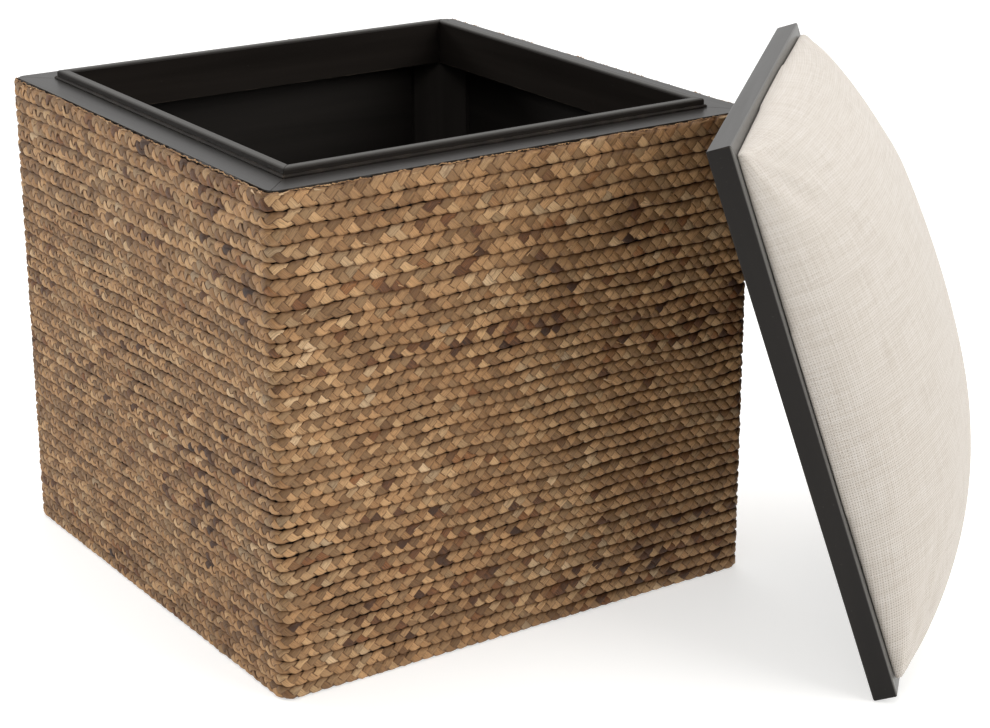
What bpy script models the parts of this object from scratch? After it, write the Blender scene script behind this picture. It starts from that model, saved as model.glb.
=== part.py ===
"""Storage ottoman: a plait-wrapped box with a dark wood rim, and a lift-off cushioned lid leaning on one corner.

The box stands on z = 0 with its origin at the middle of its underside, front towards -Y. Metres, +Z up.
"""
import math

import bmesh
import bpy
from mathutils import Vector

# Driving dimensions of the box
BODY = 0.420                # width and depth of the board carcass and of its rim
RIM_TOP = 0.382             # height of the ledge that the lid sits on
CORNER_RADIUS = 0.008       # round on the carcass's upright corners
PANEL = 0.012               # carcass board thickness
POST = 0.037                # corner posts inside, with a wide flat cut across their inner corner
POST_EDGE = 0.004           # what the cut leaves of each post's face beside the boards
RIM_THICK = 0.010
LEDGE = 0.025               # width of the ledge outside the lip
LIP_THICK = 0.0085
LIP_RISE = 0.007            # how far the lip stands above the ledge
LIP_DROP = 0.030            # how far the lip boards hang below the ledge
BEAD = 0.0018               # small step at the foot of the lip
GAP = 0.0003                # glue line between touching pieces

# Plait wrapped round the carcass
ROWS = 36
WIDE_ROWS = 8               # the upper rows are made of a wider plait
WIDE_SHARE = 1.17
PLAIT = 0.005               # thickness of the plait
PLAIT_TOP = RIM_TOP - 0.0025
PLAIT_FOOT = 0.0008

# Lid
LID = 0.424                 # outside of the lid frame
LID_THICK = 0.018
LID_RAIL = 0.022            # width of the lid's rails
LID_RECESS = 0.009          # depth of the underside that drops over the lip
LID_LEDGE = 0.006           # rail left showing round the cushion
CROWN = 0.084               # cushion height above the rails
CROWN_POWER = 0.42
CORNER_PULL = 0.06          # how much the cushion's corners are pulled in
COVER = 0.0015              # linen and its lining
CUSHION_CELLS = 14

# How the lid stands when it is off the box: on its lower rail, leaning on the front right corner
LEAN = math.radians(18.5)   # from upright
TURN = math.radians(47.0)   # of its level edge from the box's depth direction
CORNER_SHARE = 0.505        # where the corner meets the lid, along its level edge
LEAN_CLEARANCE = 0.0008

HALF = BODY / 2
LIP_OUT = HALF - LEDGE - GAP
LIP_IN = LIP_OUT - LIP_THICK


def start_clean():
    for old in list(bpy.data.objects):
        bpy.data.objects.remove(old, do_unlink=True)


def make_material(name, colour, roughness):
    """A plain finish with one colour and roughness."""
    material = bpy.data.materials.new(name)
    material.use_nodes = True
    shader = material.node_tree.nodes["Principled BSDF"]
    shader.inputs["Base Color"].default_value = (*colour, 1.0)
    shader.inputs["Roughness"].default_value = roughness
    shader.inputs["Metallic"].default_value = 0.0
    return material


def add_object(name, mesh_maker, colour, roughness):
    """Finishes a bmesh as a named object with its own material."""
    mesh = bpy.data.meshes.new(name)
    bmesh.ops.recalc_face_normals(mesh_maker, faces=mesh_maker.faces)
    mesh_maker.to_mesh(mesh)
    mesh_maker.free()
    mesh.materials.append(make_material(name + "_finish", colour, roughness))
    made = bpy.data.objects.new(name, mesh)
    bpy.context.scene.collection.objects.link(made)
    return made


def extrude_outline(points, low, high):
    """Solid with the plan outline given, between two heights."""
    shape = bmesh.new()
    foot = shape.faces.new([shape.verts.new((x, y, low)) for x, y in points])
    lifted = bmesh.ops.extrude_face_region(shape, geom=[foot])
    top = [item for item in lifted["geom"] if isinstance(item, bmesh.types.BMVert)]
    bmesh.ops.translate(shape, verts=top, vec=(0.0, 0.0, high - low))
    return shape


def block(low, high):
    """Plain rectangular board between two corners."""
    (x0, y0, z0), (x1, y1, z1) = low, high
    return extrude_outline([(x0, y0), (x1, y0), (x1, y1), (x0, y1)], z0, z1)


def arc(centre_x, centre_y, radius, start, end, steps):
    """Points on an arc, angles in degrees."""
    angles = [math.radians(start + (end - start) * i / steps) for i in range(steps + 1)]
    return [(centre_x + radius * math.cos(a), centre_y + radius * math.sin(a)) for a in angles]


def turn_about_z(shape, quarter_turns):
    """Turns a front piece round to one of the other sides."""
    angle = quarter_turns * math.pi / 2
    cosine, sine = round(math.cos(angle)), round(math.sin(angle))
    for vert in shape.verts:
        x, y, z = vert.co
        vert.co = (cosine * x - sine * y, sine * x + cosine * y, z)
    return shape


SIDES = ("front", "right", "back", "left")  # each is the front one turned by a further quarter


def mitred_rail(profile):
    """The front member of a mitred frame. Its profile is (distance from the middle, height) points."""
    shape = bmesh.new()
    ends = []
    for side in (-1, 1):
        ends.append([shape.verts.new((side * (out - GAP), -out, z)) for out, z in profile])
    left, right = ends
    count = len(profile)
    shape.faces.new(left)
    shape.faces.new(list(reversed(right)))
    for i in range(count):
        j = (i + 1) % count
        shape.faces.new((left[i], right[i], right[j], left[j]))
    return shape


def rounded(outline_corner, radius, start, steps=3):
    """Quarter round in a profile, inside the corner given, from one angle a quarter turn on."""
    (out, z), (side_out, side_z) = outline_corner
    return arc(out - side_out * radius, z - side_z * radius, radius, start, start + 90, steps)


def carcass():
    """Four side boards, a floor and four corner posts, glued up as a box."""
    top = RIM_TOP - RIM_THICK - GAP
    dark = (0.012, 0.010, 0.009)
    centre = HALF - CORNER_RADIUS
    inner = HALF - PANEL
    for quarter in (0, 2):
        outline = [(inner + PANEL, -inner), (-HALF, -inner)]
        outline += arc(-centre, -centre, CORNER_RADIUS, 180, 270, 4)
        outline += arc(centre, -centre, CORNER_RADIUS, 270, 360, 4)
        shape = turn_about_z(extrude_outline(outline, 0.0, top), quarter)
        add_object("carcass_" + SIDES[quarter], shape, dark, 0.5)
    reach = inner - GAP
    for quarter in (1, 3):
        outline = [(reach, -inner), (-reach, -inner), (-reach, -HALF), (reach, -HALF)]
        shape = turn_about_z(extrude_outline(outline, 0.0, top), quarter)
        add_object("carcass_" + SIDES[quarter], shape, dark, 0.5)
    add_object("carcass_floor", block((-reach, -reach, 0.0), (reach, reach, PANEL)), dark, 0.5)
    near = reach - POST
    height = RIM_TOP - LIP_DROP - GAP
    edge = reach - POST_EDGE
    outline = [(-reach, -reach), (-near, -reach), (-near, -edge), (-edge, -near), (-reach, -near)]
    for quarter in range(4):
        shape = extrude_outline(outline, PANEL + GAP, height)
        name = "corner_post_" + SIDES[quarter] + "_" + SIDES[(quarter - 1) % 4]
        add_object(name, turn_about_z(shape, quarter), dark, 0.55)


def rim():
    """Flat mitred rails on the carcass's top edges, and the upright lip boards inside them."""
    centre = HALF - CORNER_RADIUS
    rim_in = HALF - LEDGE
    for quarter in range(4):
        outline = arc(-centre, -centre, CORNER_RADIUS, 225, 270, 3)
        outline += arc(centre, -centre, CORNER_RADIUS, 270, 315, 3)
        outline[0] = (outline[0][0] + GAP, outline[0][1])
        outline[-1] = (outline[-1][0] - GAP, outline[-1][1])
        outline += [(rim_in - GAP, -rim_in), (-rim_in + GAP, -rim_in)]
        shape = turn_about_z(extrude_outline(outline, RIM_TOP - RIM_THICK, RIM_TOP), quarter)
        add_object("rim_rail_" + SIDES[quarter], shape, (0.055, 0.050, 0.047), 0.4)
    top, round_edge = RIM_TOP + LIP_RISE, 0.002
    bead_top = RIM_TOP + GAP + BEAD
    profile = [(LIP_IN, RIM_TOP - LIP_DROP), (LIP_OUT, RIM_TOP - LIP_DROP), (LIP_OUT, RIM_TOP + GAP)]
    profile += [(LIP_OUT + BEAD, RIM_TOP + GAP), (LIP_OUT + BEAD, bead_top - BEAD / 2)]
    profile += [(LIP_OUT + BEAD / 2, bead_top), (LIP_OUT, bead_top)]
    profile += rounded(((LIP_OUT, top), (1, 1)), round_edge, 0)
    profile += rounded(((LIP_IN, top), (-1, 1)), round_edge, 90)
    for quarter in range(4):
        shape = turn_about_z(mitred_rail(profile), quarter)
        add_object("lip_board_" + SIDES[quarter], shape, (0.045, 0.040, 0.037), 0.35)


def row_heights():
    """Lowest and highest point of each plait row, from the foot up."""
    narrow = (PLAIT_TOP - PLAIT_FOOT) / (ROWS - WIDE_ROWS + WIDE_ROWS * WIDE_SHARE)
    low, rows = PLAIT_FOOT, []
    for index in range(ROWS):
        pitch = narrow if index < ROWS - WIDE_ROWS else narrow * WIDE_SHARE
        rows.append((low, low + pitch - GAP))
        low += pitch
    return rows


def plait_ring(low, high):
    """One closed turn of plait round the carcass: flat inside, crowned outside."""
    ease = 0.0022
    section = [(GAP, low), (PLAIT - 0.0016, low), (PLAIT, low + ease)]
    section += [(PLAIT, high - ease), (PLAIT - 0.0016, high), (GAP, high)]
    centre = HALF - CORNER_RADIUS
    shape, stations = bmesh.new(), []
    corners = ((1, -1, -90), (1, 1, 0), (-1, 1, 90), (-1, -1, 180))
    for side_x, side_y, start in corners:
        for step in range(5):
            angle = math.radians(start + 22.5 * step)
            across = Vector((math.cos(angle), math.sin(angle)))
            hub = Vector((side_x * centre, side_y * centre))
            points = [(*(hub + across * (CORNER_RADIUS + out)), z) for out, z in section]
            stations.append([shape.verts.new(point) for point in points])
    for here, after in zip(stations, stations[1:] + stations[:1]):
        for i in range(len(section)):
            j = (i + 1) % len(section)
            shape.faces.new((here[i], after[i], after[j], here[j]))
    return shape


def plait_wrap():
    for index, (low, high) in enumerate(row_heights()):
        name = "plait_row_%02d" % (index + 1)
        add_object(name, plait_ring(low, high), (0.36, 0.25, 0.15), 0.7)


def crowned_grid(shape, half, crown, base):
    """Adds a square crowned sheet, and returns its rows of points."""
    rows = []
    for i in range(CUSHION_CELLS + 1):
        s = -math.cos(math.pi * i / CUSHION_CELLS)
        row = []
        for j in range(CUSHION_CELLS + 1):
            t = -math.cos(math.pi * j / CUSHION_CELLS)
            x = half * s * math.sqrt(1 - CORNER_PULL * t * t / 2)
            y = half * t * math.sqrt(1 - CORNER_PULL * s * s / 2)
            rise = max(0.0, (1 - s * s) * (1 - t * t)) ** CROWN_POWER
            row.append(shape.verts.new((x, y, base + crown * rise)))
        rows.append(row)
    for here, after in zip(rows, rows[1:]):
        for j in range(CUSHION_CELLS):
            shape.faces.new((here[j], here[j + 1], after[j + 1], after[j]))
    return rows


def edge_loop(rows):
    """The outside points of a grid, in order."""
    last = len(rows) - 1
    loop = [rows[i][0] for i in range(last)] + [rows[last][j] for j in range(last)]
    return loop + [rows[i][last] for i in range(last, 0, -1)] + [rows[0][j] for j in range(last, 0, -1)]


def lid():
    """Mitred frame, a board let in between its rails, a foam crown and its linen cover."""
    half, soft = LID / 2, 0.0012
    inner = half - LID_RAIL
    profile = rounded(((inner, 0.0), (-1, -1)), soft, 180, 2) + rounded(((half, 0.0), (1, -1)), soft, 270, 2)
    profile += rounded(((half, LID_THICK), (1, 1)), soft, 0, 2) + [(inner, LID_THICK)]
    pieces = []
    for quarter in range(4):
        shape = turn_about_z(mitred_rail(profile), quarter)
        name = "lid_rail_" + ("foot", "far", "top", "near")[quarter]
        pieces.append(add_object(name, shape, (0.050, 0.046, 0.043), 0.35))
    reach = inner - GAP
    board = block((-reach, -reach, LID_RECESS), (reach, reach, LID_THICK))
    pieces.append(add_object("lid_board", board, (0.014, 0.012, 0.011), 0.6))

    base = LID_THICK + GAP
    cover_half = half - LID_LEDGE
    cover = bmesh.new()
    outside = crowned_grid(cover, cover_half, CROWN - GAP, base)
    lining = crowned_grid(cover, cover_half - COVER, CROWN - GAP - COVER, base)
    out_loop, in_loop = edge_loop(outside), edge_loop(lining)
    for i in range(len(out_loop)):
        j = (i + 1) % len(out_loop)
        cover.faces.new((out_loop[i], out_loop[j], in_loop[j], in_loop[i]))
    pieces.append(add_object("cushion_cover", cover, (0.80, 0.76, 0.70), 0.9))

    slack = 0.0005
    foam = bmesh.new()
    foam_rows = crowned_grid(foam, cover_half - COVER - slack, CROWN - COVER - 3 * slack, base)
    foam.faces.new(edge_loop(foam_rows))
    pieces.append(add_object("cushion_foam", foam, (0.85, 0.80, 0.62), 0.95))
    return pieces


def lean_on_corner(pieces):
    """Stands the finished lid on its foot rail and leans it on the box's front right corner."""
    level = Vector((math.sin(TURN), math.cos(TURN), 0.0))
    away = Vector((math.cos(TURN), -math.sin(TURN), 0.0))
    up_lid = Vector((0, 0, 1)) * math.cos(LEAN) - away * math.sin(LEAN)
    corner = Vector((HALF - CORNER_RADIUS, -(HALF - CORNER_RADIUS), 0.0))
    reach = corner.dot(away) + CORNER_RADIUS + PLAIT
    foot_out = reach + (PLAIT_TOP * math.sin(LEAN) + LEAN_CLEARANCE) / math.cos(LEAN)
    foot = away * foot_out + level * (corner.dot(level) - CORNER_SHARE * LID)
    pose = bpy.data.objects.new("lid_pose", None)
    bpy.context.scene.collection.objects.link(pose)
    pose.location = foot + level * LID / 2 + up_lid * LID / 2
    pose.rotation_euler = (math.pi / 2 - LEAN, 0.0, math.pi / 2 - TURN)
    for piece in pieces:
        piece.parent = pose


start_clean()
carcass()
rim()
plait_wrap()
lean_on_corner(lid())
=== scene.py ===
"""Storage ottoman: a board box wound with flat plaited water hyacinth leaf, with a dark wood rim,
and its loose lid, a dark wood frame round a crowned linen cushion, leaning on one corner."""

import math

import bpy
import numpy as np
from mathutils import Matrix, Vector


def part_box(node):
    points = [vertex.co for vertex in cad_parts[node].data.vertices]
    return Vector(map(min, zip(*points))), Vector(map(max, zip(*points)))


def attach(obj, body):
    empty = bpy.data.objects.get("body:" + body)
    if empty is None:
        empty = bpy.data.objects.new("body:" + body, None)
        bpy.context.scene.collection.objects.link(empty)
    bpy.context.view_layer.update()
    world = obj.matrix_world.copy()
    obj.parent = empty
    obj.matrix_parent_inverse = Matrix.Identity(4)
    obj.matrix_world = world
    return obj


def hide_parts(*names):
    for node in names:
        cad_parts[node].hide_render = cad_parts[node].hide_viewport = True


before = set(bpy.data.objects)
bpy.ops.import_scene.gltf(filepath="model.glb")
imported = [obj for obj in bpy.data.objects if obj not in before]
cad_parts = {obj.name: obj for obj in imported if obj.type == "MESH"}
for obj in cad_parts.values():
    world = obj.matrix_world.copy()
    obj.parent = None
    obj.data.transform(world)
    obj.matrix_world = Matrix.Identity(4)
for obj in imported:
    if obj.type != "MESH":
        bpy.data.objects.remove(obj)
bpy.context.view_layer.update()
bpy.ops.object.select_all(action="DESELECT")


# ---- Viewpoint -------------------------------------------------------------------------------
# A long lens stands about two metres off the near corner, a little over twice the box's height,
# so the open top shows and both walls keep most of their length.

bpy.ops.object.camera_add(location=(-0.9664, -1.5935, 0.8179))
camera = bpy.context.object
camera.name = "camera"
camera.rotation_euler = (math.radians(90 - 19.60), 0.0, math.radians(-34.19))
camera.data.lens = 87.8
camera.data.clip_start = 0.05
bpy.context.scene.camera = camera


# ---- Studio ----------------------------------------------------------------------------------
# A plain pale floor in a white room. A large soft box to the right of the viewer lights the front
# wall and the cushion, a weaker one skims the left wall, a faint one in front reaches down inside
# the box, and one hangs overhead.

def add_node(tree, kind, sockets=None, **settings):
    """Adds a shader node, sets its properties, and fills its sockets with values or with links."""
    node = tree.nodes.new(kind)
    for name, value in settings.items():
        setattr(node, name, value)
    for name, value in (sockets or {}).items():
        if isinstance(value, bpy.types.NodeSocket):
            tree.links.new(value, node.inputs[name])
        else:
            node.inputs[name].default_value = value
    return node


def start_material(name):
    """A new material with only its output and one Principled shader."""
    material = bpy.data.materials.new(name)
    material.use_nodes = True
    tree = material.node_tree
    tree.nodes.clear()
    shader = tree.nodes.new("ShaderNodeBsdfPrincipled")
    output = tree.nodes.new("ShaderNodeOutputMaterial")
    tree.links.new(shader.outputs["BSDF"], output.inputs["Surface"])
    return material, tree, shader


def math_node(tree, operation, first, second=0.0, clamp=False):
    """The result of one sum on two values or links."""
    node = add_node(tree, "ShaderNodeMath", {0: first, 1: second}, operation=operation, use_clamp=clamp)
    return node.outputs[0]


def noise(tree, where, scale, detail, **settings):
    """Soft random values, about 0.5 on average."""
    sockets = {"Vector": where, "Scale": scale, "Detail": detail}
    return add_node(tree, "ShaderNodeTexNoise", sockets, **settings).outputs[0]


def map_value(tree, value, low=0.0, high=1.0, to_low=0.0, to_high=1.0):
    """A value stretched from one range to another, and kept inside it."""
    sockets = {"Value": value, "From Min": low, "From Max": high, "To Min": to_low, "To Max": to_high}
    return add_node(tree, "ShaderNodeMapRange", sockets).outputs[0]


def ramp(tree, value, stops):
    """The colour at a value, from a list of (place, colour)."""
    node = add_node(tree, "ShaderNodeValToRGB", {"Fac": value})
    band = node.color_ramp
    while len(band.elements) < len(stops):
        band.elements.new(0.5)
    for element, (place, colour) in zip(band.elements, stops):
        element.position = place
        element.color = (*colour, 1.0)
    return node.outputs["Color"]


def blend_colours(tree, share, first, second, blend_type="MIX"):
    """Two colours mixed, by a value or a link."""
    sockets = {0: share, 6: first, 7: second}
    node = add_node(tree, "ShaderNodeMix", sockets, data_type="RGBA", blend_type=blend_type)
    return node.outputs[2]


def grey_level(tree, value):
    """A grey of the brightness given."""
    return add_node(tree, "ShaderNodeCombineColor", {0: value, 1: value, 2: value}).outputs[0]


bpy.ops.mesh.primitive_circle_add(vertices=96, radius=14.0, fill_type="NGON", location=(0, 0, -0.0004))
floor = bpy.context.object
floor.name = "studio_floor"
floor_finish, tree, shader = start_material("pale_floor")
where = add_node(tree, "ShaderNodeTexCoord").outputs["Object"]
mottle = noise(tree, where, 3.0, 3.0)
pale = ramp(tree, mottle, [(0.3, (0.62, 0.62, 0.616)), (0.7, (0.64, 0.64, 0.636))])
tree.links.new(pale, shader.inputs["Base Color"])
shader.inputs["Roughness"].default_value = 0.9
shader.inputs["Specular IOR Level"].default_value = 0.1
shader.inputs["Emission Color"].default_value = (1.0, 1.0, 0.99, 1.0)
shader.inputs["Emission Strength"].default_value = 0.60
floor.data.materials.append(floor_finish)

world = bpy.data.worlds.new("white_room")
bpy.context.scene.world = world
world.use_nodes = True
tree = world.node_tree
sky_way = add_node(tree, "ShaderNodeTexCoord").outputs["Generated"]
BRIGHT_WAY = (0.42, 0.72, 0.55)    # the room is lightest behind and above the box
behind = add_node(tree, "ShaderNodeVectorMath", {0: sky_way, 1: BRIGHT_WAY}, operation="DOT_PRODUCT")
glow = map_value(tree, behind.outputs["Value"], -0.45, 0.75, 0.08, 0.78)
tree.nodes["Background"].inputs["Color"].default_value = (1.0, 0.995, 0.985, 1.0)
tree.links.new(glow, tree.nodes["Background"].inputs["Strength"])
bpy.context.scene.view_settings.view_transform = "Standard"
bpy.context.scene.view_settings.look = "None"

# Each lamp's name, place, target, width, power and colour
lamps = (
    ("soft_box_right", (1.5, -3.0, 1.9), (0.05, -0.2, 0.15), 2.2, 60.0, (1.0, 0.985, 0.96)),
    ("soft_box_left", (-1.9, 2.5, 1.5), (-0.2, 0.0, 0.2), 0.7, 22.5, (1.0, 0.99, 0.97)),
    ("soft_box_front", (-1.0, -1.1, 2.0), (0.15, 0.15, 0.3), 0.8, 5.0, (1.0, 0.98, 0.96)),
    ("soft_box_above", (0.3, 0.6, 3.2), (0.1, 0.0, 0.2), 2.4, 52.0, (1.0, 1.0, 1.0)),
)
for name, place, target, width, power, colour in lamps:
    bpy.ops.object.light_add(type="AREA", location=place)
    lamp = bpy.context.object
    lamp.name = name
    lamp.data.size = width
    lamp.data.energy = power
    lamp.data.color = colour
    beam = Vector(target) - Vector(place)
    lamp.rotation_euler = beam.to_track_quat("-Z", "Y").to_euler()


# ---- Carcass: side boards, floor board and corner posts ----------------------------------------
# The box under the plait is plain board, glued and stapled to a post in each inside corner, whose
# inner corner is cut off flat. Everything that shows inside has a coat of matt near-black paint.

def make_wood_grain():
    """Node group: long streaks and short pores that run along X."""
    group = bpy.data.node_groups.new("wood_grain", "ShaderNodeTree")
    group.interface.new_socket(name="Vector", in_out="INPUT", socket_type="NodeSocketVector")
    group.interface.new_socket(name="Scale", in_out="INPUT", socket_type="NodeSocketFloat")
    group.interface.new_socket(name="Streak", in_out="OUTPUT", socket_type="NodeSocketFloat")
    group.interface.new_socket(name="Pore", in_out="OUTPUT", socket_type="NodeSocketFloat")
    start = group.nodes.new("NodeGroupInput")
    end = group.nodes.new("NodeGroupOutput")
    stretch = {"Vector": start.outputs["Vector"], "Scale": (0.06, 1.0, 1.0)}
    long_way = add_node(group, "ShaderNodeMapping", stretch).outputs[0]
    wander = add_node(group, "ShaderNodeTexNoise", {
        "Vector": long_way, "Scale": start.outputs["Scale"], "Detail": 5.0, "Distortion": 0.6})
    fine = math_node(group, "MULTIPLY", start.outputs["Scale"], 5.5)
    pores = noise(group, long_way, fine, 2.0)
    group.links.new(wander.outputs[0], end.inputs["Streak"])
    group.links.new(map_value(group, pores, 0.52, 0.74), end.inputs["Pore"])
    return group


def make_dust():
    """Node group: faint clouds and rare small specks."""
    group = bpy.data.node_groups.new("dust", "ShaderNodeTree")
    group.interface.new_socket(name="Vector", in_out="INPUT", socket_type="NodeSocketVector")
    group.interface.new_socket(name="Amount", in_out="INPUT", socket_type="NodeSocketFloat")
    group.interface.new_socket(name="Mask", in_out="OUTPUT", socket_type="NodeSocketFloat")
    start = group.nodes.new("NodeGroupInput")
    end = group.nodes.new("NodeGroupOutput")
    cloud = noise(group, start.outputs["Vector"], 9.0, 4.0)
    speck = noise(group, start.outputs["Vector"], 420.0, 1.0)
    rare = map_value(group, speck, 0.72, 0.8)
    film = math_node(group, "MULTIPLY", cloud, 0.35)
    both = math_node(group, "ADD", film, rare, clamp=True)
    group.links.new(math_node(group, "MULTIPLY", both, start.outputs["Amount"]), end.inputs["Mask"])
    return group


wood_grain = make_wood_grain()
dust = make_dust()


def matt_black_board(name, grain_way, thin=1.0):
    """Matt black paint on board. grain_way turns the grain, which runs along X, to the board's length.
    A higher thin is a paler paint; the corner posts use it as painted light, lifting the shade in the deep
    inside corners."""
    material, tree, shader = start_material(name)
    where = add_node(tree, "ShaderNodeTexCoord").outputs["Object"]
    along = add_node(tree, "ShaderNodeMapping", {"Vector": where, "Rotation": grain_way}).outputs[0]
    grain = add_node(tree, "ShaderNodeGroup", node_tree=wood_grain)
    tree.links.new(along, grain.inputs["Vector"])
    grain.inputs["Scale"].default_value = 46.0
    dusty = add_node(tree, "ShaderNodeGroup", node_tree=dust)
    tree.links.new(where, dusty.inputs["Vector"])
    dusty.inputs["Amount"].default_value = 0.16
    deep_black = (0.0175 * thin, 0.0152 * thin, 0.0137 * thin)
    light_black = (0.0275 * thin, 0.0240 * thin, 0.0216 * thin)
    paint = ramp(tree, grain.outputs["Streak"], [(0.3, deep_black), (0.7, light_black)])
    top = blend_colours(tree, dusty.outputs["Mask"], paint, (0.07, 0.064, 0.058, 1.0))
    tree.links.new(top, shader.inputs["Base Color"])
    rough = map_value(tree, grain.outputs["Streak"], to_low=0.5, to_high=0.72)
    tree.links.new(rough, shader.inputs["Roughness"])
    shader.inputs["Specular IOR Level"].default_value = 0.12
    relief = math_node(tree, "SUBTRACT", grain.outputs["Streak"], grain.outputs["Pore"])
    bump = add_node(tree, "ShaderNodeBump", {"Strength": 0.12, "Distance": 0.0004, "Height": relief})
    tree.links.new(bump.outputs[0], shader.inputs["Normal"])
    return material


def finish_node(name, material):
    """Gives one of the frame's own pieces its finish."""
    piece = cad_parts[name]
    if not piece.material_slots:
        piece.data.materials.append(material)
    for slot in piece.material_slots:
        slot.material = material


QUARTER = math.pi / 2
SIDES = ("front", "right", "back", "left")
board_wide = matt_black_board("matt_black_board_wide", (0.0, 0.0, 0.0))
board_deep = matt_black_board("matt_black_board_deep", (0.0, 0.0, QUARTER))
# The corner posts get a paler copy of the paint: painted light that lifts the shade in the deep inside
# corners.
post_black_lifted = matt_black_board("matt_black_post_painted_light", (0.0, QUARTER, 0.0), thin=1.7)
for side in SIDES:
    finish_node("carcass_" + side, board_wide if side in ("front", "back") else board_deep)
finish_node("carcass_floor", board_wide)
for corner in ("front_left", "right_front", "back_right", "left_back"):
    finish_node("corner_post_" + corner, post_black_lifted)


# ---- Rim: ledge rails and lip boards -------------------------------------------------------------
# Four mitred rails make the flat ledge that the lid sits on, and four mitred lip boards stand just
# above it and hang inside as an apron. Solid wood, sprayed espresso black-brown, satin, and glued.

def make_edge_wear():
    """Node group: a mask of the narrow, broken strip along the edges where paint rubs thin."""
    group = bpy.data.node_groups.new("edge_wear", "ShaderNodeTree")
    group.interface.new_socket(name="Vector", in_out="INPUT", socket_type="NodeSocketVector")
    group.interface.new_socket(name="Reach", in_out="INPUT", socket_type="NodeSocketFloat")
    group.interface.new_socket(name="Mask", in_out="OUTPUT", socket_type="NodeSocketFloat")
    start = group.nodes.new("NodeGroupInput")
    end = group.nodes.new("NodeGroupOutput")
    rounded = add_node(group, "ShaderNodeBevel", {"Radius": start.outputs["Reach"]}, samples=4)
    true = add_node(group, "ShaderNodeNewGeometry")
    both_ways = {0: rounded.outputs[0], 1: true.outputs["Normal"]}
    likeness = add_node(group, "ShaderNodeVectorMath", both_ways, operation="DOT_PRODUCT")
    edge = map_value(group, likeness.outputs["Value"], 0.985, 0.80)
    broken = map_value(group, noise(group, start.outputs["Vector"], 60.0, 5.0), 0.44, 0.66)
    group.links.new(math_node(group, "MULTIPLY", edge, broken), end.inputs["Mask"])
    return group


edge_wear = make_edge_wear()


def espresso_wood(name, grain_way, gloss=0.5, highlight_above=None, highlight_way=(0.0, 0.0, 1.0),
                  highlight_colour=0.075, thin=1.0):
    """Satin black-brown paint that lets the grain through faintly. grain_way turns the grain to the
    rail's length. A higher thin is a paler coat. Further along highlight_way than highlight_above, the
    colour is painted pale, to highlight_colour, a grey: a painted highlight where the light catches it."""
    material, tree, shader = start_material(name)
    where = add_node(tree, "ShaderNodeTexCoord").outputs["Object"]
    along = add_node(tree, "ShaderNodeMapping", {"Vector": where, "Rotation": grain_way}).outputs[0]
    grain = add_node(tree, "ShaderNodeGroup", node_tree=wood_grain)
    tree.links.new(along, grain.inputs["Vector"])
    grain.inputs["Scale"].default_value = 70.0
    dusty = add_node(tree, "ShaderNodeGroup", node_tree=dust)
    tree.links.new(where, dusty.inputs["Vector"])
    dusty.inputs["Amount"].default_value = 0.10
    worn = add_node(tree, "ShaderNodeGroup", node_tree=edge_wear)
    tree.links.new(where, worn.inputs["Vector"])
    worn.inputs["Reach"].default_value = 0.0011
    deep_brown = (0.0085 * thin, 0.0068 * thin, 0.0058 * thin)
    light_brown = (0.0150 * thin, 0.0122 * thin, 0.0104 * thin)
    paint = ramp(tree, grain.outputs["Streak"], [(0.25, deep_brown), (0.75, light_brown)])
    dulled = blend_colours(tree, dusty.outputs["Mask"], paint, (0.16, 0.15, 0.14, 1.0))
    rubbed = math_node(tree, "MULTIPLY", worn.outputs["Mask"], 0.55)
    top = blend_colours(tree, rubbed, dulled, (0.17, 0.135, 0.105, 1.0))
    # Painted highlight: past the given height along the given way, the colour turns to a pale grey.
    if highlight_above is not None:
        height = add_node(tree, "ShaderNodeVectorMath", {0: where, 1: highlight_way}, operation="DOT_PRODUCT")
        pale = map_value(tree, height.outputs["Value"], highlight_above, highlight_above + 0.0008, to_high=0.8)
        grey = (highlight_colour * 1.04, highlight_colour, highlight_colour * 0.94, 1.0)
        top = blend_colours(tree, pale, top, grey)
    tree.links.new(top, shader.inputs["Base Color"])
    sheen = map_value(tree, grain.outputs["Streak"], to_low=0.24, to_high=0.38)
    dull = math_node(tree, "ADD", sheen, math_node(tree, "MULTIPLY", dusty.outputs["Mask"], 0.8))
    tree.links.new(dull, shader.inputs["Roughness"])
    shader.inputs["Specular IOR Level"].default_value = gloss
    pits = math_node(tree, "MULTIPLY", grain.outputs["Pore"], 0.6)
    relief = math_node(tree, "SUBTRACT", grain.outputs["Streak"], pits)
    bump = add_node(tree, "ShaderNodeBump", {"Strength": 0.10, "Distance": 0.0003, "Height": relief})
    tree.links.new(bump.outputs[0], shader.inputs["Normal"])
    return material


rail_wide = espresso_wood("espresso_rail_wide", (0.0, 0.0, 0.0))
rail_deep = espresso_wood("espresso_rail_deep", (0.0, 0.0, QUARTER))
LIP_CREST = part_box("lip_board_front")[1].z - 0.0012    # the rounded top edge; above it the lip is painted pale grey, a painted highlight
# The lips' crests are painted pale grey: a painted highlight along the lit top edge.
lip_wide = espresso_wood("espresso_lip_wide", (0.0, 0.0, 0.0), 0.08, LIP_CREST, thin=1.45)
lip_deep = espresso_wood("espresso_lip_deep", (0.0, 0.0, QUARTER), 0.08, LIP_CREST, thin=1.45)
for side in SIDES:
    wide = side in ("front", "back")
    finish_node("rim_rail_" + side, rail_wide if wide else rail_deep)
    finish_node("lip_board_" + side, lip_wide if wide else lip_deep)


# ---- Plait -----------------------------------------------------------------------------------
# Rows of flat three-strand plait, water hyacinth leaf, wound round the box, glued and stapled,
# the top eight rows a little wider. Each row is three strands that pass over and under each other,
# with a few loose leaf ends. Box modelling can't weave them, so each is one spun ring, bent in code.

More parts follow.
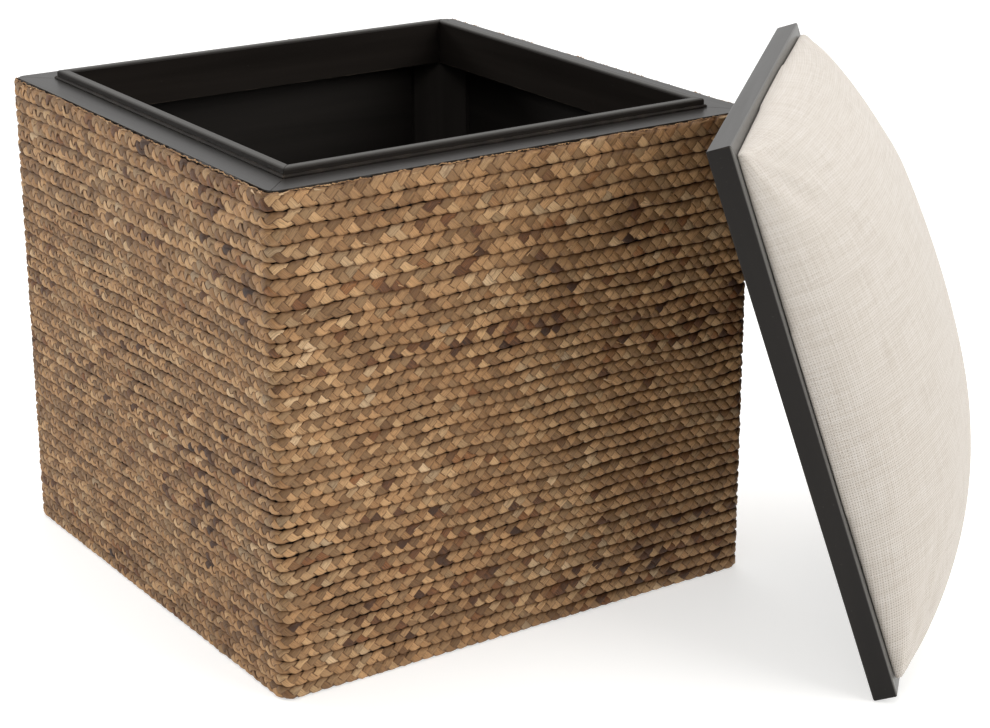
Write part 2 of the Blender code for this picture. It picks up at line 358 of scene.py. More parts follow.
ROWS = 36
HUB = 0.202            # where the middle of each rounded corner stands
CORNER = 0.0107        # radius there, to the middle of the plait
STRAIGHT = 2 * HUB
QUARTER_WAY = STRAIGHT + CORNER * QUARTER
WHOLE_WAY = 4 * QUARTER_WAY
LAYER = 0.00110        # how far a strand rises and sinks where it crosses another
FOLD = 0.0015          # roundness of a row's long edges
MOST_FOLD = 1.75       # how far round that edge a leaf can go, in radians
BACK = 0.0021          # how far behind the middle of the plait a folded leaf can reach
SNAP = 0.24            # how much quicker a strand runs outward, on top, than it comes back beneath
LEAF_THICK = 0.0011
LEAF_BREADTH = 0.77    # of a leaf, as a share of the way from one strand to the next
LEAF_SWAP = 2.45       # where in its swing, in radians, a strand goes from one leaf to the next
BENEATH = 1.45         # how much further a strand sinks than it rises
FLOOR_ROOM = 0.0004    # the lowest row stays this far above the floor
# A leaf's flat section, clockwise: across its width, and out from the box
SECTION = ((-0.5, 0.0), (-0.43, 0.44), (-0.15, 0.5), (0.15, 0.5), (0.43, 0.44), (0.5, 0.0), (0.0, -0.45))


def round_the_box(way, out):
    """Places in plan, for lengths along the row and distances out from the middle of the plait."""
    way = np.mod(way + STRAIGHT / 2, WHOLE_WAY)
    quarter = np.floor(way / QUARTER_WAY).astype(int) % 4
    run = way - quarter * QUARTER_WAY
    facing = np.array([(0, 1), (-1, 0), (0, -1), (1, 0)], float)[quarter]
    travel = np.array([(-1, 0), (0, -1), (1, 0), (0, 1)], float)[quarter]
    straight = np.clip(run, 0, STRAIGHT) - HUB
    turn = np.clip((run - STRAIGHT) / CORNER, 0, QUARTER)
    hub = facing * HUB + travel * straight[:, None]
    outward = facing * np.cos(turn)[:, None] + travel * np.sin(turn)[:, None]
    return hub + outward * (CORNER + out)[:, None]


def ripple(draw, counts, heights):
    """A smooth closed wave round the box: its counts per turn, heights and random phases."""
    phases = draw.uniform(0, 2 * math.pi, len(counts))
    return [(count, height, phase) for count, height, phase in zip(counts, heights, phases)]


def read_ripple(waves, way, drift=0.0):
    """The height of such a wave at places along the row. Its parts slide past each other with drift."""
    total = 0.0
    for count, height, phase in waves:
        slide = drift * (1 + 0.13 * count)
        total = total + height * np.sin(2 * math.pi * count * way / WHOLE_WAY + phase + slide)
    return total


def looseness(way):
    """How loosely the plait is made: 1 on the left wall, down to 0 on the right wall."""
    return (0.5 + 0.5 * np.cos((way - 0.9 * QUARTER_WAY) * 2 * math.pi / WHOLE_WAY)) ** 1.6


def fold_over(height, out, half, loose):
    """Wraps a leaf round the long edges of its row, and says how far round each point has gone."""
    fold = FOLD * (0.7 + 0.15 * loose)
    flat = half - fold
    past = np.maximum(np.abs(height) - flat, 0) / fold
    turn = MOST_FOLD * np.tanh(past / MOST_FOLD)
    pressed = out * (1 - (0.72 - 0.5 * loose) * np.minimum(past, 1))
    least = 0.0004
    reach = np.maximum(fold + pressed, least)
    side = np.sign(height)
    new_height = np.where(past > 0, side * (flat + reach * np.sin(turn)), height)
    new_out = np.where(past > 0, -fold + reach * np.cos(turn), out)
    return new_height, np.maximum(new_out, -BACK), np.clip((past - 0.3) / 1.1, 0, 1)


RING_SCALE = 0.1       # of the section on the plain ring, whose own radius is 1


def spun_leaf_ring(stations):
    """One closed strand as a plain ring of radius 1, with the leaf's flat section."""
    bpy.ops.mesh.primitive_circle_add(vertices=len(SECTION), radius=RING_SCALE)
    ring = bpy.context.object
    for point, (across, thick) in zip(ring.data.vertices, SECTION):
        point.co = (1 + thick * RING_SCALE, 0.0, across * RING_SCALE)
    bpy.ops.object.mode_set(mode="EDIT")
    bpy.ops.mesh.select_all(action="SELECT")
    bpy.ops.mesh.spin(
        steps=stations, angle=2 * math.pi, center=(0, 0, 0), axis=(0, 0, 1), use_auto_merge=True)
    bpy.ops.mesh.select_all(action="SELECT")
    bpy.ops.mesh.remove_doubles(threshold=0.00001)
    bpy.ops.mesh.normals_make_consistent(inside=False)
    bpy.ops.object.mode_set(mode="OBJECT")
    return ring


def loose_leaf_end():
    """One thin tapered leaf end, 1 long, made from a cone."""
    bpy.ops.mesh.primitive_cone_add(vertices=4, radius1=0.5, radius2=0.06, depth=1.0, location=(0, 0, 0.5))
    tip = bpy.context.object
    bpy.ops.object.mode_set(mode="EDIT")
    for third in (0.33, 0.67):
        bpy.ops.mesh.select_all(action="SELECT")
        bpy.ops.mesh.bisect(plane_co=(0, 0, third), plane_no=(0, 0, 1))
    bpy.ops.object.mode_set(mode="OBJECT")
    bpy.ops.object.transform_apply(location=True, rotation=True, scale=True)
    return tip


def point_places(mesh):
    """The places of a mesh's points, one row each."""
    places = np.empty(len(mesh.vertices) * 3)
    mesh.vertices.foreach_get("co", places)
    return places.reshape(-1, 3)


def set_points(mesh, places):
    """Moves a mesh's points."""
    mesh.vertices.foreach_set("co", np.ascontiguousarray(places, np.float32).ravel())
    mesh.update()


def set_value(mesh, name, values):
    """Stores one number per point, for a material to read."""
    attribute = mesh.attributes.new(name, "FLOAT", "POINT")
    attribute.data.foreach_set("value", np.ascontiguousarray(values, np.float32))


def set_point_uv(mesh, name, first, second):
    """A UV map that takes its two numbers from each corner's point."""
    layer = mesh.uv_layers.new(name=name)
    points = np.empty(len(mesh.loops), np.int32)
    mesh.loops.foreach_get("vertex_index", points)
    layer.data.foreach_set("uv", np.stack([first[points], second[points]], 1).astype(np.float32).ravel())


def weave_strand(ring, draw, row, strand):
    """A copy of the ring, bent into one strand of one row."""
    mesh = ring.data.copy()
    plain = point_places(mesh)
    way = np.mod(np.arctan2(plain[:, 1], plain[:, 0]) / (2 * math.pi), 1.0) * WHOLE_WAY
    across = plain[:, 2] / RING_SCALE
    thick = (np.hypot(plain[:, 0], plain[:, 1]) - 1) / RING_SCALE
    loose = looseness(way)
    half = row["half"] * (1 + read_ripple(row["swell"], way))

    # The strand's middle line swings from one long edge of the row to the other
    phase = 2 * math.pi * (row["turns"] * way / WHOLE_WAY + strand / 3) + row["start"]
    phase = phase + read_ripple(row["hurry"], way)
    beat = phase + SNAP * (1 - np.cos(2 * phase))
    rate = (1 + 2 * SNAP * np.sin(2 * phase)) * 2 * math.pi * row["turns"] / WHOLE_WAY
    swing = half * (0.97 - 0.04 * loose)
    height = swing * np.sin(beat)
    slope = swing * np.cos(beat) * rate
    slant = np.sqrt(1 + slope * slope)
    width = WHOLE_WAY / row["turns"] / 3 * LEAF_BREADTH
    width = width * (1 + read_ripple(strand_swell[strand], way, row["number"])) * (1 - 0.21 * loose)
    step = across * width

    # Each visible leaf has its own tilt and thickness, and passes over one strand and under the next
    leaf = np.floor((phase - LEAF_SWAP) / math.pi).astype(int)
    order = leaf - leaf.min()
    leaves = order.max() + 1
    tilt = draw.normal(0, 1.0, leaves)[order] * (0.04 + 0.05 * loose) - 0.06 * loose
    puff = draw.uniform(0.75, 1.3, leaves)[order] * (1 - 0.35 * loose)
    sharpness = 1.4
    crossing = np.tanh(sharpness * np.sin(2 * phase + 0.2)) / math.tanh(sharpness)
    crossing = np.where(crossing < 0, BENEATH * crossing, crossing)
    out = LAYER * (0.80 - 0.28 * loose) * crossing + thick * LEAF_THICK * puff + step * tilt
    crown = 0.00018 + 0.00004 * loose
    out = out + crown * np.cos(2 * math.pi * across)
    height, out, folded = fold_over(height + step / slant, out, half, loose)
    way = way - step * slope / slant
    level = row["middle"] + read_ripple(row_wander, way, row["drift"]) * row["slack"]
    plan = round_the_box(way, out)
    set_points(mesh, np.column_stack([plan, np.maximum(level + height, FLOOR_ROOM)]))

    # Tones drift slowly along a strand, with clumps of dark leaves and a rare pale one
    tone = draw.uniform(0.22, 0.96, leaves)
    long_tone = 0.5 + 0.5 * np.sin(np.arange(leaves) * draw.uniform(0.25, 0.6) + draw.uniform(0, 6))
    tone = 0.62 * tone + 0.36 * (0.25 + 0.65 * long_tone)
    odd = draw.uniform(0, 1, leaves)
    clump = row["dark_share"] * (1 + 1.4 * np.sin(np.arange(leaves) * 0.11 + row["drift"] * 2))
    tone = np.where(odd < clump, draw.uniform(0.02, 0.26, leaves), tone)
    pale_from = 0.985
    tone = np.where(odd > pale_from, draw.uniform(0.9, 1.0, leaves), tone)
    set_value(mesh, "leaf_tone", tone[order])
    # On the loose left wall every other leaf is painted lighter and the rest darker: painted light and shade
    # of leaves turned towards and away from the light.
    light = draw.uniform(0.0, 1.0, leaves)[order]
    lit_or_shaded_leaf = np.where(leaf % 2 == 0, 1, -1)
    set_value(mesh, "leaf_light", light + loose * (0.8 * (light - 0.5) + 0.33 * lit_or_shaded_leaf))
    # How far each point is folded round the row's edge, which the material paints as shade between rows.
    set_value(mesh, "leaf_fold_shade", folded)
    lane = across + 0.5 + 3.0 * strand + 11.0 * row["number"]    # no two strands share their fibres
    set_point_uv(mesh, "leaf", way / 0.01 + 7.3 * strand, lane)
    return mesh


def lay_leaf_end(tip, draw, row):
    """A copy of the loose leaf end, laid somewhere on the row and lifted at its point."""
    mesh = tip.data.copy()
    plain = point_places(mesh)
    length = draw.uniform(0.004, 0.0095)
    width = draw.uniform(0.0007, 0.0016)
    slant = draw.uniform(0.25, 0.8) * draw.choice((-1, 1))
    lift = draw.uniform(0.0004, 0.0016)
    start_way = draw.uniform(0, WHOLE_WAY)
    start_height = draw.uniform(-0.8, 0.8) * row["half"]
    if row["number"] == ROWS - 1:
        start_height = draw.uniform(0.6, 1.0) * row["half"]
        slant = slant * 0.2
    along = plain[:, 2] * length
    side = plain[:, 0] * width
    deep = plain[:, 1] * 0.0005
    way = start_way + along * math.cos(slant) - side * math.sin(slant)
    height = start_height + along * math.sin(slant) + side * math.cos(slant)
    out = 0.0011 + deep + lift * plain[:, 2] ** 1.6
    height, out, folded = fold_over(height, out, row["half"], looseness(way))
    level = row["middle"] + read_ripple(row_wander, way, row["drift"]) * row["slack"]
    plan = round_the_box(way, out)
    set_points(mesh, np.column_stack([plan, np.maximum(level + height, FLOOR_ROOM)]))
    set_value(mesh, "leaf_tone", np.full(len(way), draw.choice((0.35, 0.6, 0.85, 0.97))))
    set_value(mesh, "leaf_light", np.full(len(way), draw.uniform(0.5, 1.0)))
    set_value(mesh, "leaf_fold_shade", folded * 0.3)
    for layer in list(mesh.uv_layers):
        mesh.uv_layers.remove(layer)
    set_point_uv(mesh, "leaf", plain[:, 2] + start_way * 100, plain[:, 0] + 0.5)
    return mesh


def dry_leaf():
    """Dry water hyacinth leaf: each leaf has its own tone, with fibres, spots and brown edges, and painted
    shade in its creases, between its facets and where it folds between rows.
    """
    material, tree, shader = start_material("dry_leaf")
    where = add_node(tree, "ShaderNodeTexCoord").outputs["Object"]
    leaf_map = add_node(tree, "ShaderNodeUVMap", uv_map="leaf").outputs[0]
    tone = add_node(tree, "ShaderNodeAttribute", attribute_name="leaf_tone").outputs["Fac"]
    light = add_node(tree, "ShaderNodeAttribute", attribute_name="leaf_light").outputs["Fac"]
    fibre_way = add_node(tree, "ShaderNodeMapping", {"Vector": leaf_map, "Scale": (0.5, 9.0, 1.0)}).outputs[0]
    fibre = noise(tree, fibre_way, 2.2, 4.0)
    fold_way = add_node(tree, "ShaderNodeMapping", {"Vector": leaf_map, "Scale": (0.35, 3.0, 1.0)}).outputs[0]
    folds = noise(tree, fold_way, 1.4, 1.0)
    mottle = noise(tree, where, 120.0, 4.0)
    patch = noise(tree, where, 14.0, 3.0)
    patch_shift = math_node(tree, "MULTIPLY", math_node(tree, "SUBTRACT", patch, 0.5), 0.55)
    fibre_shift = math_node(tree, "MULTIPLY", math_node(tree, "SUBTRACT", fibre, 0.5), 0.42)
    shift = math_node(tree, "ADD", patch_shift, fibre_shift)
    toned = math_node(tree, "ADD", tone, shift, clamp=True)
    colour = ramp(tree, toned, [
        (0.00, (0.063, 0.026, 0.011)),
        (0.09, (0.126, 0.053, 0.021)),
        (0.17, (0.242, 0.094, 0.029)),
        (0.27, (0.284, 0.146, 0.059)),
        (0.45, (0.383, 0.209, 0.089)),
        (0.66, (0.478, 0.271, 0.122)),
        (0.84, (0.546, 0.338, 0.164)),
        (1.00, (0.619, 0.432, 0.252)),
    ])
    bright = map_value(tree, light, to_low=0.60, to_high=1.14)
    streak = map_value(tree, fibre, 0.3, 0.7, 0.80, 1.12)
    # The creases darken the leaf's colour as well as its relief: painted shade in the creases.
    from_crease = math_node(tree, "ABSOLUTE", math_node(tree, "SUBTRACT", folds, 0.5))
    crease_and_shade = map_value(tree, from_crease, 0.0, 0.03, 0.62, 1.0)
    value = math_node(tree, "MULTIPLY", math_node(tree, "MULTIPLY", bright, streak), crease_and_shade)
    colour = blend_colours(tree, 1.0, colour, grey_level(tree, value), "MULTIPLY")
    spots = map_value(tree, mottle, 0.64, 0.75, to_high=0.55)
    colour = blend_colours(tree, spots, colour, (0.17, 0.085, 0.042, 1.0))
    # The leaf's margins turn dark brown: partly the leaf's own brown edge, partly painted shade in the narrow
    # gaps between facets.
    across = math_node(tree, "FRACT", add_node(tree, "ShaderNodeSeparateXYZ", {0: leaf_map}).outputs[1])
    from_middle = math_node(tree, "ABSOLUTE", math_node(tree, "SUBTRACT", across, 0.5))
    margin_brown_and_shade = map_value(tree, from_middle, 0.36, 0.455, to_high=0.9)
    colour = blend_colours(tree, margin_brown_and_shade, colour, (0.100, 0.043, 0.017, 1.0))
    # Painted shade: the leaf darkens where it folds round its row's edge, down into the gap between rows.
    folded = add_node(tree, "ShaderNodeAttribute", attribute_name="leaf_fold_shade").outputs["Fac"]
    folded = math_node(tree, "MULTIPLY", folded, 0.72)
    colour = blend_colours(tree, folded, colour, (0.110, 0.046, 0.016, 1.0))
    tree.links.new(colour, shader.inputs["Base Color"])
    rough = map_value(tree, fibre, to_low=0.46, to_high=0.74)
    tree.links.new(rough, shader.inputs["Roughness"])
    shader.inputs["Specular IOR Level"].default_value = 0.4
    relief = math_node(tree, "ADD", fibre, math_node(tree, "MULTIPLY", crease_and_shade, 0.8))
    bump = add_node(tree, "ShaderNodeBump", {"Strength": 0.5, "Distance": 0.0004, "Height": relief})
    tree.links.new(bump.outputs[0], shader.inputs["Normal"])
    return material


leaf_finish = dry_leaf()
plan_draw = np.random.default_rng(41)
row_wander = ripple(plan_draw, (2, 5, 11, 19, 31), (0.00045, 0.00040, 0.00035, 0.00028, 0.00018))
strand_swell = [ripple(plan_draw, (9, 23, 41, 67), (0.05, 0.06, 0.06, 0.05)) for strand in range(3)]
leaf_ring = spun_leaf_ring(864)
leaf_end = loose_leaf_end()
SWING_LENGTH = 3.05    # length of one full swing of a strand, as a share of the row's height
ROW_ROOM = 0.00014     # kept free at a row's long edge


def pick_only(piece):
    """Makes one piece the selected and active one."""
    bpy.ops.object.select_all(action="DESELECT")
    piece.select_set(True)
    bpy.context.view_layer.objects.active = piece


for number in range(ROWS):
    draw = np.random.default_rng(700 + number)
    low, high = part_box("plait_row_%02d" % (number + 1))
    pitch = high.z - low.z
    top_lift = 0.0006 if number == ROWS - 1 else 0.0
    row = {
        "number": number,
        "middle": (low.z + high.z) / 2 + top_lift,
        "half": pitch / 2 - ROW_ROOM + top_lift,
        "turns": round(WHOLE_WAY / (SWING_LENGTH * pitch)),
        "start": draw.uniform(0, 2 * math.pi),
        "drift": 0.16 * number,
        "slack": 0.35 if number == 0 else 1 + 0.9 * math.sin(math.pi * number / (ROWS - 1)),
        "dark_share": float(draw.choice((0.01, 0.02, 0.03, 0.05, 0.11))),
        "swell": ripple(draw, (5, 16, 29), (0.030, 0.026, 0.020)),
        "hurry": ripple(draw, (4, 9, 21, 37), (0.5, 0.3, 0.16, 0.10)),
    }
    meshes = [weave_strand(leaf_ring, draw, row, strand) for strand in range(3)]
    ends = 60 if number == ROWS - 1 else 13
    meshes += [lay_leaf_end(leaf_end, draw, row) for count in range(ends)]
    pieces = []
    for mesh in meshes:
        piece = bpy.data.objects.new("plait_turn_%02d" % (number + 1), mesh)
        bpy.context.collection.objects.link(piece)
        pieces.append(piece)
    turn = pieces[0]
    pick_only(turn)
    for piece in pieces:
        piece.select_set(True)
    bpy.ops.object.join()
    bpy.ops.object.shade_smooth_by_angle(angle=math.radians(62))
    turn.data.materials.clear()
    turn.data.materials.append(leaf_finish)
    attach(turn, "box")
    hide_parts("plait_row_%02d" % (number + 1))
bpy.data.objects.remove(leaf_ring)
bpy.data.objects.remove(leaf_end)


# ---- Trimmed edge ----------------------------------------------------------------------------
# A thin twist of pale trimmed leaf, pressed with glue into the seam between the top row and the rim.
# It is one round cord laid round the box, uneven and broken, swept along the seam and made a mesh.

draw = np.random.default_rng(90)
twist_way = np.linspace(0, WHOLE_WAY, 1701)[:-1]
twist_wave = ripple(draw, (7, 19, 43, 97, 151), (0.0002, 0.0002, 0.0002, 0.00022, 0.00018))
SEAM_IN = 0.0008       # of the seam behind the middle of the plait
SEAM_UP = 0.0016       # of the seam above the top row's box
twist_out = -SEAM_IN + read_ripple(twist_wave, twist_way) + draw.normal(0, 0.00025, len(twist_way))
twist_plan = round_the_box(twist_way, twist_out)
twist_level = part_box("plait_row_36")[1].z + SEAM_UP + read_ripple(twist_wave, twist_way, 2.0)
twist_level = twist_level + draw.normal(0, 0.00022, len(twist_way))
twist_curve = bpy.data.curves.new("trimmed_edge", "CURVE")
twist_curve.dimensions = "3D"
twist_curve.bevel_depth = 0.00050
twist_curve.bevel_resolution = 1
twist_line = twist_curve.splines.new("POLY")
twist_line.points.add(len(twist_way) - 1)
twist_line.use_cyclic_u = True
for point, (x, y), z in zip(twist_line.points, twist_plan, twist_level):
    point.co = (x, y, z, 1.0)
    point.radius = draw.uniform(0.12, 1.45)
twist = bpy.data.objects.new("trimmed_edge", twist_curve)
bpy.context.collection.objects.link(twist)
pick_only(twist)
bpy.ops.object.convert(target="MESH")
twist = bpy.context.object
bpy.ops.object.shade_smooth()
x, y = point_places(twist.data)[:, :2].T
patches = np.sin(x * 210 + y * 170) * np.sin(y * 310 - x * 90)
set_value(twist.data, "leaf_tone", 0.55 + 0.3 * patches)
set_value(twist.data, "leaf_light", np.full(len(x), 0.4))
set_value(twist.data, "leaf_fold_shade", np.zeros(len(x)))
set_point_uv(twist.data, "leaf", (x + y) * 100, np.full(len(x), 0.5))
twist.data.materials.clear()
twist.data.materials.append(leaf_finish)
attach(twist, "box")


# ---- Lid frame and its board -----------------------------------------------------------------
# Four mitred rails of the same satin wood, their outer edges eased, glued round a thin board.
# The lid stands on one rail and leans back on the box's front right corner, turned towards it.

LEAN = math.radians(18.5)    # from upright
TURN = math.radians(47.0)    # of its level edge from the box's depth direction
level_way = Vector((math.sin(TURN), math.cos(TURN), 0.0))
away = Vector((math.cos(TURN), -math.sin(TURN), 0.0))
upward_way = Vector((0, 0, 1)) * math.cos(LEAN) - away * math.sin(LEAN)
face_way = away * math.cos(LEAN) + Vector((0, 0, 1)) * math.sin(LEAN)
board_low, board_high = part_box("lid_board")
BOARD_MIDDLE = 0.0135  # height of the board's middle, from the lid's underside
LIT_FACE = 0.0168        # the same to just under the face of the rails, above which the rails are painted pale grey, a painted highlight
lid_origin = (board_low + board_high) / 2 - face_way * BOARD_MIDDLE
lid_turn = Matrix((level_way, upward_way, face_way))
lid_place = lid_turn.transposed().to_4x4()
lid_place.translation = lid_origin
to_lid = lid_turn.to_euler("XYZ")
to_lid_upright = (Matrix.Rotation(QUARTER, 3, "Z") @ lid_turn).to_euler("XYZ")
lit_face_from = lid_origin.dot(face_way) + LIT_FACE
# The rails' faces are painted pale grey, paler on the upright rails: a painted highlight where they catch the
# light.
lid_level = espresso_wood("espresso_lid_level", to_lid, 0.66, lit_face_from, tuple(face_way), 0.10)
lid_upright = espresso_wood("espresso_lid_upright", to_lid_upright, 0.2, lit_face_from, tuple(face_way), 0.16)
for side in ("foot", "top"):
    finish_node("lid_rail_" + side, lid_level)
for side in ("far", "near"):
    finish_node("lid_rail_" + side, lid_upright)
finish_node("lid_board", matt_black_board("matt_black_lid_board", to_lid))


# ---- Cushion ---------------------------------------------------------------------------------
# A crowned block of foam under one sheet of coarse off-white linen, pulled down all round and
# stapled to the board inside the frame, so it meets the rails with no seam or piping.

CUSHION_HALF = 0.206   # to the foot of the cushion, inside the ledge that the rails show
CUSHION_FOOT = 0.0183  # where the foam starts, from the lid's underside
CROWN = 0.0837         # height of the cushion over its foot
CROWN_POWER = 0.42     # how square-shouldered the crown is
START_SHARE = 0.93     # the cushion starts at this share of its crown, and swells to the full one
STRAIGHT_FOOT = 0.004  # the part of that height that goes straight up all round
CORNER_PULL = 0.03     # how far the corners are drawn in


def crown_height(s, t):
    """Height of the crown, as a share, for places from -1 to 1 both ways."""
    return np.maximum((1 - s * s) * (1 - t * t), 0.0) ** CROWN_POWER


bpy.ops.mesh.primitive_cube_add(size=2.0)
cushion = bpy.context.object
cushion.name = "linen_cushion"
bpy.ops.object.mode_set(mode="EDIT")
bpy.ops.mesh.select_all(action="SELECT")
bpy.ops.mesh.subdivide(number_cuts=47)
bpy.ops.object.mode_set(mode="OBJECT")
plain = point_places(cushion.data)
s = np.sin(plain[:, 0] * QUARTER)
t = np.sin(plain[:, 1] * QUARTER)
across = CUSHION_HALF * s * np.sqrt(1 - CORNER_PULL * t * t)
along = CUSHION_HALF * t * np.sqrt(1 - CORNER_PULL * s * s)
share = (plain[:, 2] + 1) / 2
crown = (CROWN - STRAIGHT_FOOT) * START_SHARE * crown_height(s, t)
lifted = CUSHION_FOOT + share * (STRAIGHT_FOOT + crown)
set_points(cushion.data, np.column_stack([across, along, lifted]))
pick_only(cushion)
cushion.data.remesh_voxel_size = 0.0046
bpy.ops.object.voxel_remesh()
before = point_places(cushion.data)
held = cushion.vertex_groups.new(name="held")
STAPLED = 0.0052   # height of the foot that the staples hold
foot = np.nonzero(before[:, 2] < CUSHION_FOOT + STAPLED)[0]
held.add(foot.tolist(), 1.0, "REPLACE")
cloth = cushion.modifiers.new("cloth", "CLOTH")
cloth.settings.quality = 5
cloth.settings.mass = 0.3
cloth.settings.tension_stiffness = 14.0
cloth.settings.compression_stiffness = 14.0
cloth.settings.shear_stiffness = 3.0
cloth.settings.bending_stiffness = 0.4
cloth.settings.use_pressure = True
cloth.settings.uniform_pressure_force = 4.0
cloth.settings.vertex_group_mass = "held"
cloth.settings.effector_weights.gravity = 0.0
cloth.collision_settings.use_collision = False
cloth.collision_settings.use_self_collision = False
STEPS = 20
cloth.point_cache.frame_start = 1
cloth.point_cache.frame_end = STEPS
for step in range(1, STEPS + 1):
    bpy.context.scene.frame_set(step)
settled = cushion.evaluated_get(bpy.context.evaluated_depsgraph_get())
after = point_places(settled.to_mesh())
settled.to_mesh_clear()
cushion.modifiers.remove(cloth)
cushion.vertex_groups.clear()
bpy.context.scene.frame_set(1)
moved = after - before
far = np.linalg.norm(moved, axis=1)
FURTHEST = 0.022   # a point goes no further than this
moved = moved * (np.minimum(far, FURTHEST) / np.maximum(far, 1e-9))[:, None]
set_points(cushion.data, before + moved)
pulled = cushion.vertex_groups.new(name="pulled_taut")
ABOVE_FOOT = 0.010  # the linen is smoothed from this height up
free = np.nonzero((before + moved)[:, 2] > CUSHION_FOOT + ABOVE_FOOT)[0]
pulled.add(free.tolist(), 1.0, "REPLACE")
taut = cushion.modifiers.new("taut", "SMOOTH")
taut.factor = 0.5
taut.iterations = 8
taut.vertex_group = "pulled_taut"
bpy.ops.object.modifier_apply(modifier="taut")
cushion.vertex_groups.clear()
smooth = cushion.modifiers.new("smooth", "SUBSURF")
smooth.levels = 1
smooth.render_levels = 1
bpy.ops.object.modifier_apply(modifier="smooth")


def lay_linen(mesh):
    """A UV map in metres along the threads, which follow the crown both ways and down its steep sides."""
    near_one = 0.9999
    places = point_places(mesh)
    s = np.clip(places[:, 0] / CUSHION_HALF, -near_one, near_one)
    t = np.clip(places[:, 1] / CUSHION_HALF, -near_one, near_one)

    # On the steep sides a point's height says more exactly than its plan how far down it lies
    left = np.clip((places[:, 2] - CUSHION_FOOT) / CROWN, 0, near_one) ** (1 / CROWN_POWER)
    steep_s = np.sqrt(1 - np.minimum(left / (1 - t * t), 1))
    steep_t = np.sqrt(1 - np.minimum(left / (1 - s * s), 1))
    steep_from, steep_over = 0.82, 0.14
    share_s = np.clip((np.abs(s) - steep_from) / steep_over, 0, 1) * (np.abs(s) >= np.abs(t))
    share_t = np.clip((np.abs(t) - steep_from) / steep_over, 0, 1) * (np.abs(t) > np.abs(s))
    s_true = np.sign(s) * (np.abs(s) * (1 - share_s) + steep_s * share_s)
    t_true = np.sign(t) * (np.abs(t) * (1 - share_t) + steep_t * share_t)

    # Lengths of thread over the crown, from its middle, one row for each of 61 threads side by side
    turns = np.linspace(-QUARTER, QUARTER, 801)
    lane_turns = np.linspace(-QUARTER, QUARTER, 61)
    steps = np.sin(turns)
    table = np.zeros((len(lane_turns), len(turns)))
    for number, lane in enumerate(np.sin(lane_turns)):
        rise = CROWN * crown_height(steps, lane)
        pieces = np.hypot(np.diff(steps) * CUSHION_HALF, np.diff(rise))
        length = np.concatenate([[0], np.cumsum(pieces)])
        table[number] = length - np.interp(0, steps, length)

    def thread_length(lane, place):
        """How far along its thread a place is, read between the table's nearest four lengths."""
        spot = (np.arcsin(lane) / QUARTER + 1) / 2 * (len(lane_turns) - 1)
        low = np.clip(np.floor(spot).astype(int), 0, len(lane_turns) - 2)
        column = (np.arcsin(place) / QUARTER + 1) / 2 * (len(turns) - 1)
        first = np.clip(np.floor(column).astype(int), 0, len(turns) - 2)
        part = column - first
        row_a = table[low, first] * (1 - part) + table[low, first + 1] * part
        row_b = table[low + 1, first] * (1 - part) + table[low + 1, first + 1] * part
        return row_a + (row_b - row_a) * (spot - low)

    for layer in list(mesh.uv_layers):
        mesh.uv_layers.remove(layer)
    set_point_uv(mesh, "linen", thread_length(t_true, s_true), thread_length(s_true, t_true))


lay_linen(cushion.data)


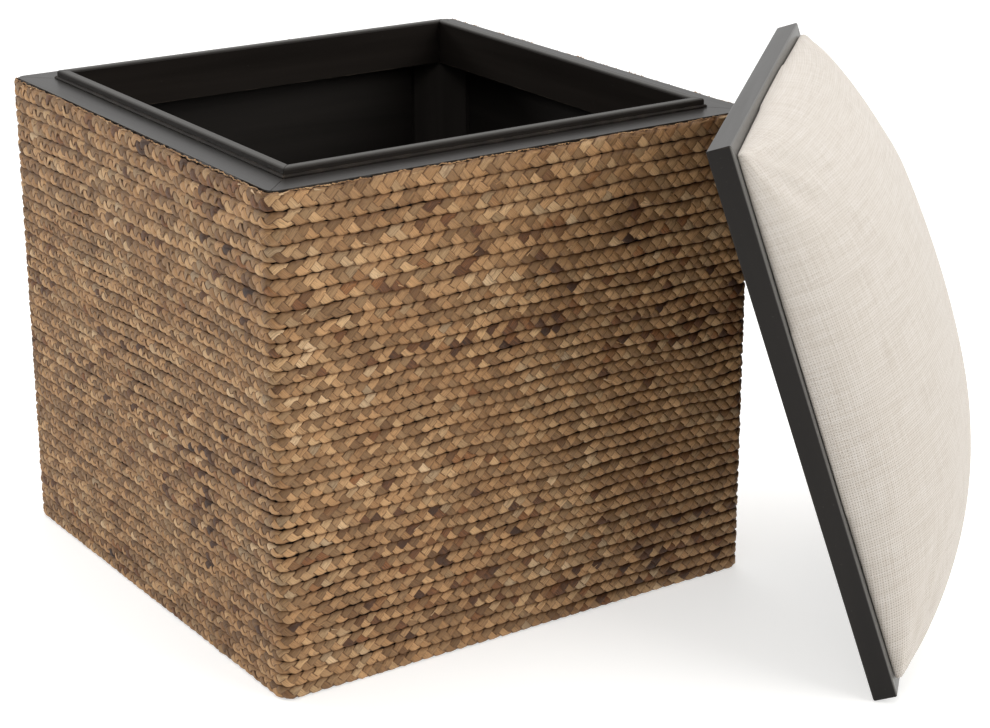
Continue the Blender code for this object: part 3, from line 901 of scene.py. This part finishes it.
def coarse_linen():
    """Undyed off-white linen in an open plain weave: round threads over and under, slubs and gaps, with
    painted shade in the dips between threads and in the gaps.
    """
    material, tree, shader = start_material("coarse_linen")
    cloth_map = add_node(tree, "ShaderNodeUVMap", uv_map="linen").outputs[0]
    where = add_node(tree, "ShaderNodeTexCoord").outputs["Object"]
    wobble = {"Vector": cloth_map, "Scale": 38.0, "Detail": 2.0}
    wobble = add_node(tree, "ShaderNodeTexNoise", wobble, noise_dimensions="2D").outputs["Color"]
    sway = {0: wobble, 1: (0.5, 0.5, 0.5)}
    sway = add_node(tree, "ShaderNodeVectorMath", sway, operation="SUBTRACT").outputs[0]
    sway = add_node(tree, "ShaderNodeVectorMath", {0: sway, "Scale": 0.0011}, operation="SCALE").outputs[0]
    swayed = add_node(tree, "ShaderNodeVectorMath", {0: cloth_map, 1: sway}, operation="ADD").outputs[0]
    parts = add_node(tree, "ShaderNodeSeparateXYZ", {0: swayed})
    pitch = 0.00195    # from thread to thread
    cross = math_node(tree, "MULTIPLY", parts.outputs[0], math.pi / pitch)
    length = math_node(tree, "MULTIPLY", parts.outputs[1], math.pi / pitch)
    round_warp = math_node(tree, "ABSOLUTE", math_node(tree, "SINE", cross))
    round_weft = math_node(tree, "ABSOLUTE", math_node(tree, "SINE", length))
    turns = math_node(tree, "MULTIPLY", math_node(tree, "COSINE", cross), math_node(tree, "COSINE", length))
    warp_on_top = map_value(tree, turns, -0.25, 0.25)
    weft_on_top = math_node(tree, "SUBTRACT", 1.0, warp_on_top)
    warp_part = math_node(tree, "MULTIPLY", round_warp, warp_on_top)
    weft_part = math_node(tree, "MULTIPLY", round_weft, weft_on_top)
    weave = math_node(tree, "ADD", warp_part, weft_part)
    hole = map_value(tree, math_node(tree, "MAXIMUM", round_warp, round_weft), 0.30, 0.62, 1.0, 0.0)
    warp_way = add_node(tree, "ShaderNodeMapping", {"Vector": swayed, "Scale": (1.0, 0.05, 1.0)}).outputs[0]
    weft_way = add_node(tree, "ShaderNodeMapping", {"Vector": swayed, "Scale": (0.05, 1.0, 1.0)}).outputs[0]
    warp_slub = noise(tree, warp_way, 420.0, 2.0, noise_dimensions="2D")
    weft_slub = noise(tree, weft_way, 420.0, 2.0, noise_dimensions="2D")
    warp_slub = math_node(tree, "MULTIPLY", warp_slub, warp_on_top)
    weft_slub = math_node(tree, "MULTIPLY", weft_slub, weft_on_top)
    slub = math_node(tree, "ADD", warp_slub, weft_slub)
    cloud = noise(tree, where, 9.0, 3.0)
    yarn = ramp(tree, slub, [
        (0.30, (0.562, 0.509, 0.453)),
        (0.50, (0.626, 0.578, 0.525)),
        (0.70, (0.676, 0.633, 0.590)),
    ])
    yarn = blend_colours(tree, math_node(tree, "MULTIPLY", cloud, 0.25), yarn, (0.62, 0.565, 0.50, 1.0))
    # Painted shade: the colour darkens where the threads dip under each other.
    weave_dip_shade = map_value(tree, weave, 0.2, 0.9, 0.95, 1.015)
    yarn = blend_colours(tree, 1.0, yarn, grey_level(tree, weave_dip_shade), "MULTIPLY")
    # Painted shade in the gaps of the weave, strongest towards the lid's foot and fainter up the cushion.
    gap_shade_share = map_value(tree, parts.outputs[1], -0.04, 0.15, 0.85, 0.25)
    yarn = blend_colours(tree, math_node(tree, "MULTIPLY", hole, gap_shade_share), yarn, (0.24, 0.19, 0.145, 1.0))
    tree.links.new(yarn, shader.inputs["Base Color"])
    rough = map_value(tree, slub, to_low=0.78, to_high=0.95)
    tree.links.new(rough, shader.inputs["Roughness"])
    shader.inputs["Specular IOR Level"].default_value = 0.2
    shader.inputs["Sheen Weight"].default_value = 0.15
    shader.inputs["Sheen Roughness"].default_value = 0.5
    relief = math_node(tree, "ADD", weave, math_node(tree, "MULTIPLY", slub, 0.8))
    relief = math_node(tree, "SUBTRACT", relief, hole)
    bump = add_node(tree, "ShaderNodeBump", {"Strength": 0.14, "Distance": 0.0004, "Height": relief})
    tree.links.new(bump.outputs[0], shader.inputs["Normal"])
    return material


cushion.data.transform(lid_place)
pick_only(cushion)
bpy.ops.object.shade_smooth()
cushion.data.materials.clear()
cushion.data.materials.append(coarse_linen())
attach(cushion, "lid")
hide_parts("cushion_cover", "cushion_foam")
